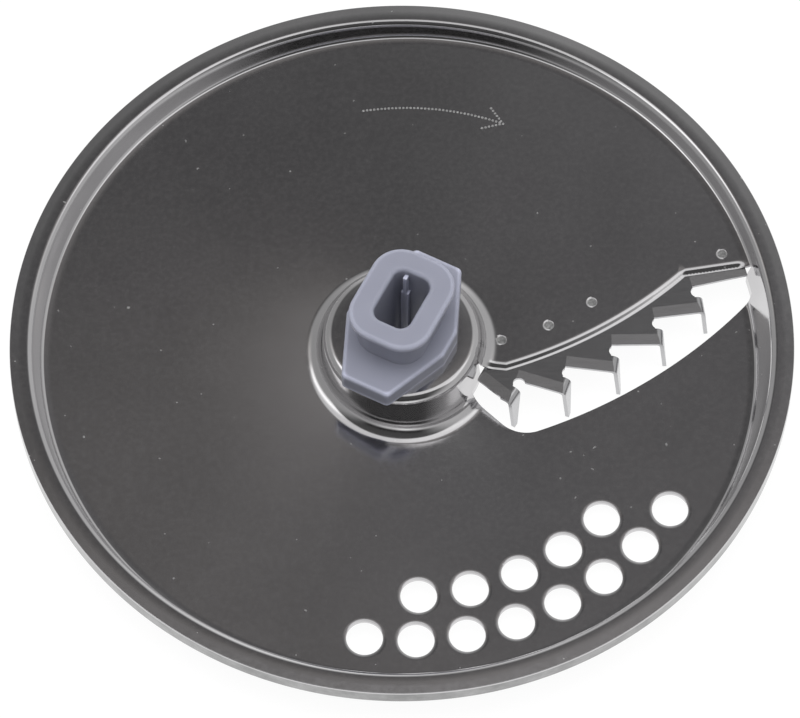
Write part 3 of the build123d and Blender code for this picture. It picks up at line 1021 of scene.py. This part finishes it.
def hub_material(settings):
    """Satin moulded plastic with a faint grain, some depth and a painted highlight that makes its
    edges paler.
    """
    material, tree, surface = new_finish("grey_moulded_plastic")
    place = object_place(tree)
    cloud = noise(tree, place, scale=90.0)
    grain = noise(tree, place, scale=2600.0, detail=3.0)
    tint = ramp(tree, cloud, ((0.3, scaled(settings.colour, 0.94)), (0.7, settings.colour)))
    # Painted highlight: inward ambient occlusion finds the convex edges, and the colour there is
    # made nearly twice as pale, in place of the light that the edges catch.
    rays = {"inside": True, "samples": 8}
    depth = add(tree, "ShaderNodeAmbientOcclusion", rays, Distance=1.6 * MM).outputs["AO"]
    edge = smooth_range(tree, depth, 0.9, 0.55)
    shown = mixed_colour(tree, edge, tint, shade(scaled(settings.colour, 1.9)))
    low, high = settings.roughness * 0.9, settings.roughness * 1.1
    soft = add(tree, "ShaderNodeBevel", {"samples": 4}, Radius=0.3 * MM).outputs[0]
    skin = add(
        tree, "ShaderNodeBump", Strength=0.08, Distance=0.2 * MM, Height=grain, Normal=soft
    )
    plastic = add(
        tree,
        "ShaderNodeBsdfPrincipled",
        Base_Color=shown,
        Roughness=smooth_range(tree, cloud, 0.2, 0.8, low, high),
        IOR=1.48,
        Subsurface_Weight=settings.glow,
        Subsurface_Radius=(1.0, 1.0, 1.0),
        Subsurface_Scale=1.5 * MM,
        Normal=skin.outputs[0],
    )
    tree.links.new(plastic.outputs[0], surface)
    return material


def dot_material():
    """Bright metal that a punch throws up."""
    material, tree, surface = new_finish("punched_steel")
    place = object_place(tree)
    tint = ramp(tree, noise(tree, place, scale=700.0), ((0.3, 0.62), (0.7, 0.8)))
    steel_shader(tree, surface, Base_Color=tint, Roughness=0.35)
    return material


def floor_material():
    """Floor that is white to the eye and in the metal, and keeps a soft shadow."""
    material, tree, surface = new_finish("white_floor")
    paths = add(tree, "ShaderNodeLightPath").outputs
    seen = paths["Is Camera Ray"]
    for ray in ("Is Glossy Ray", "Is Transmission Ray"):
        seen = math(tree, "ADD", seen, paths[ray], clamp=True)
    lit = add(tree, "ShaderNodeBsdfDiffuse", Color=shade(FLOOR_SHADOW))
    glow = add(tree, "ShaderNodeEmission", Color=shade(1.0), Strength=FLOOR_GLOW)
    white = add(tree, "ShaderNodeAddShader", s0=lit.outputs[0], s1=glow.outputs[0])
    plain = add(tree, "ShaderNodeBsdfDiffuse", Color=shade(FLOOR_BOUNCE))
    mixed = add(tree, "ShaderNodeMixShader", s0=seen, s1=plain.outputs[0], s2=white.outputs[0])
    tree.links.new(mixed.outputs[0], surface)
    return material


# Studio.


def studio_world():
    """Studio round the disc: pale far wall, grey sides, dark behind and a long soft box overhead."""
    world = bpy.data.worlds.new("studio")
    bpy.context.scene.world = world
    world.use_nodes = True
    tree = world.node_tree
    tree.nodes.clear()
    surface = tree.nodes.new("ShaderNodeOutputWorld").inputs["Surface"]
    direction = add(tree, "ShaderNodeTexCoord").outputs["Generated"]
    across, along, up = add(tree, "ShaderNodeSeparateXYZ", Vector=direction).outputs
    sideways = math(tree, "ABSOLUTE", across)
    slant = smooth_range(tree, across, *ROOM_SLANT)
    room = mixed_colour(tree, 1.0, ramp(tree, up, FAR_WALL), slant, "MULTIPLY")
    below_box = smooth_range(tree, up, *SIDE_UP)
    for start, full, strength in SIDE_WALLS:
        side = product(tree, smooth_range(tree, across, start, full), below_box)
        room = mixed_colour(tree, side, room, shade(strength))
    behind = product(
        tree,
        smooth_range(tree, along, *BACK_ALONG),
        smooth_range(tree, sideways, *BACK_ACROSS),
        smooth_range(tree, up, *BACK_UP),
    )
    room = mixed_colour(tree, behind, room, ramp(tree, up, BACK_WALL))
    right_lamp = smooth_range(tree, across, *BOX_RIGHT)
    left_lamp = smooth_range(tree, across, *BOX_LEFT)
    lit = product(
        tree,
        smooth_range(tree, sideways, *BOX_ACROSS),
        math(tree, "ADD", right_lamp, left_lamp),
        smooth_range(tree, up, *BOX_UP),
        smooth_range(tree, along, *BOX_ALONG),
    )
    box = ramp(tree, math(tree, "ABSOLUTE", along), SOFT_BOX)
    total = mixed_colour(tree, lit, room, box, "ADD")
    background = add(tree, "ShaderNodeBackground", Color=total, Strength=1.0)
    tree.links.new(background.outputs[0], surface)


def soft_lamp(context, settings):
    """Large lamp overhead that lights the plastic and stays out of the metal's reflections."""
    lamp = bpy.data.lights.new("soft_lamp", "AREA")
    lamp.shape = "SQUARE"
    lamp.size = settings.lamp_size
    lamp.energy = settings.lamp_power
    holder = bpy.data.objects.new("soft_lamp", lamp)
    holder.location = (0.0, 0.0, settings.lamp_height)
    holder.visible_glossy = False
    context.scene.collection.objects.link(holder)


def place_camera(context, settings):
    """Camera that looks down on the disc from the near side."""
    lean = settings.elevation
    rim_level = context.scene.disc_sheet_settings.rim_level
    back = Vector((0, -cos(lean), sin(lean)))
    rise = Vector((0, sin(lean), cos(lean)))
    side = Vector((1, 0, 0))
    spot = Vector((0, 0, rim_level)) + back * settings.distance
    spot += side * settings.aside + rise * settings.above
    turned_side = side * cos(settings.roll) + rise * sin(settings.roll)
    turned_rise = rise * cos(settings.roll) - side * sin(settings.roll)
    lens = bpy.data.cameras.new("camera")
    lens.sensor_width = SENSOR_WIDTH
    lens.lens = settings.focal_pixels * SENSOR_WIDTH / IMAGE_WIDTH
    camera = bpy.data.objects.new("camera", lens)
    axes = Matrix((turned_side, turned_rise, back)).transposed()
    camera.matrix_world = Matrix.Translation(spot) @ axes.to_4x4()
    context.scene.collection.objects.link(camera)
    context.scene.camera = camera


# Pieces.


def link_piece(context, name, mesh, *materials):
    """Object of a mesh with its finishes, linked to the scene."""
    for material in materials:
        mesh.materials.append(material)
    piece = bpy.data.objects.new(name, mesh)
    context.scene.collection.objects.link(piece)
    return piece


def dress(node, material):
    """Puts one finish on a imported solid."""
    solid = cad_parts[node]
    solid.data.materials.clear()
    solid.data.materials.append(material)


def arrow_places(settings):
    """Plan points of the arrow's dots: the arc, then the two strokes of its head."""
    places = []
    count = round(settings.radius * settings.span / settings.pitch)
    for i in range(count + 1):
        turn = settings.middle + settings.span * (0.5 - i / count)
        places.append(Vector(polar(settings.radius, turn)))
    tip = places[-1]
    end = settings.middle - settings.span / 2
    back = Vector((-sin(end), cos(end)))
    strokes = round(settings.head / settings.pitch)
    for lean in (settings.head_spread, -settings.head_spread):
        stroke = Matrix.Rotation(lean, 2) @ back
        places += [tip + stroke * settings.pitch * (i + 1) for i in range(strokes)]
    return places


def punched_dots(points, diameter, name):
    """One mesh of small raised rings with sunk middles, set on points of the plate."""
    mesh = bmesh.new()
    for point in points:
        rows = []
        for reach, rise in DOT_RINGS:
            spots = ring(point[:2], reach * diameter / 2, DOT_SIDES)
            height = point[2] + rise * diameter / 2
            rows.append([mesh.verts.new((*spot, height)) for spot in spots])
        mesh.faces.new(rows[0])
        for i in range(DOT_SIDES):
            j = (i + 1) % DOT_SIDES
            for inner, outer in zip(rows, rows[1:]):
                mesh.faces.new((inner[i], outer[i], outer[j], inner[j]))
        mesh.faces.new(reversed(rows[-1]))
    data = bpy.data.meshes.new(name)
    mesh.to_mesh(data)
    mesh.free()
    data.shade_smooth()
    return data


class OBJECT_OT_disc_plate(bpy.types.Operator):
    """Presses the plate as a fine sheet with a bright rolled finish"""

    bl_idname = "object.disc_plate"
    bl_label = "Pressed Plate"

    def execute(self, context):
        sizes = context.scene.disc_sheet_settings
        finish = plate_material(context.scene.disc_plate_settings, sizes)
        dress("disc_plate", finish)
        mesh = sheet_mesh(PressedSheet(sizes), "pressed_plate")
        plate = link_piece(context, "pressed_plate", mesh, finish, weld_material())
        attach(plate, "root")
        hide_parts("disc_plate")
        return {"FINISHED"}


class OBJECT_OT_disc_blade_finish(bpy.types.Operator):
    """Gives the blade its ground finish"""

    bl_idname = "object.disc_blade_finish"
    bl_label = "Blade Finish"

    def execute(self, context):
        dress("cutting_blade", blade_material(context.scene.disc_blade_settings))
        return {"FINISHED"}


class OBJECT_OT_disc_hub_finish(bpy.types.Operator):
    """Gives the hub its moulded finish"""

    bl_idname = "object.disc_hub_finish"
    bl_label = "Hub Finish"

    def execute(self, context):
        dress("drive_hub", hub_material(context.scene.disc_hub_settings))
        return {"FINISHED"}


class OBJECT_OT_disc_turning_arrow(bpy.types.Operator):
    """Punches a dotted turning arrow into the plate"""

    bl_idname = "object.disc_turning_arrow"
    bl_label = "Turning Arrow"

    def execute(self, context):
        settings = context.scene.disc_arrow_settings
        sheet = PressedSheet(context.scene.disc_sheet_settings)
        places, _, turns = sheet.cut(np.array(arrow_places(settings)), 0.0)
        points = sheet.points(places, turns)[0]
        mesh = punched_dots(points, settings.dot, "turning_arrow")
        arrow = link_piece(context, "turning_arrow", mesh, dot_material())
        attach(arrow, "root")
        return {"FINISHED"}


class OBJECT_OT_disc_stage(bpy.types.Operator):
    """Sets up the floor, the studio and the camera"""

    bl_idname = "object.disc_stage"
    bl_label = "Stage"

    def execute(self, context):
        settings = context.scene.disc_stage_settings
        half = settings.floor_size / 2
        mesh = bpy.data.meshes.new("floor")
        corners = [(-half, -half, 0), (half, -half, 0), (half, half, 0), (-half, half, 0)]
        mesh.from_pydata(corners, [], [(0, 1, 2, 3)])
        link_piece(context, "floor", mesh, floor_material())
        studio_world()
        soft_lamp(context, settings)
        place_camera(context, settings)
        context.scene.view_settings.view_transform = "Standard"
        return {"FINISHED"}


class VIEW3D_PT_disc(bpy.types.Panel):
    """Panel that lists the disc's operators and settings"""

    bl_idname = "VIEW3D_PT_disc"
    bl_label = "Food Processor Disc"
    bl_space_type = "VIEW_3D"
    bl_region_type = "UI"
    bl_category = "Disc"

    def draw(self, context):
        for names, operator in PANEL_ROWS:
            box = self.layout.box()
            for name in names:
                settings = getattr(context.scene, name)
                for key in settings.__annotations__:
                    box.prop(settings, key)
            box.operator(operator.bl_idname)


PANEL_ROWS = (
    (("disc_sheet_settings", "disc_plate_settings"), OBJECT_OT_disc_plate),
    (("disc_blade_settings",), OBJECT_OT_disc_blade_finish),
    (("disc_hub_settings",), OBJECT_OT_disc_hub_finish),
    (("disc_arrow_settings",), OBJECT_OT_disc_turning_arrow),
    (("disc_stage_settings",), OBJECT_OT_disc_stage),
)
GROUPS = {
    "disc_sheet_settings": SheetSettings,
    "disc_plate_settings": PlateSettings,
    "disc_blade_settings": BladeSettings,
    "disc_hub_settings": HubSettings,
    "disc_arrow_settings": ArrowSettings,
    "disc_stage_settings": StageSettings,
}
CLASSES = (*GROUPS.values(), *(operator for _, operator in PANEL_ROWS), VIEW3D_PT_disc)


def register():
    for cls in CLASSES:
        bpy.utils.register_class(cls)
    for name, group in GROUPS.items():
        setattr(bpy.types.Scene, name, bpy.props.PointerProperty(type=group))


def unregister():
    for name in GROUPS:
        delattr(bpy.types.Scene, name)
    for cls in reversed(CLASSES):
        bpy.utils.unregister_class(cls)


def main():
    register()
    bpy.ops.object.disc_plate()
    bpy.ops.object.disc_blade_finish()
    bpy.ops.object.disc_hub_finish()
    bpy.ops.object.disc_turning_arrow()
    bpy.ops.object.disc_stage()


if __name__ == "__main__":
    main()
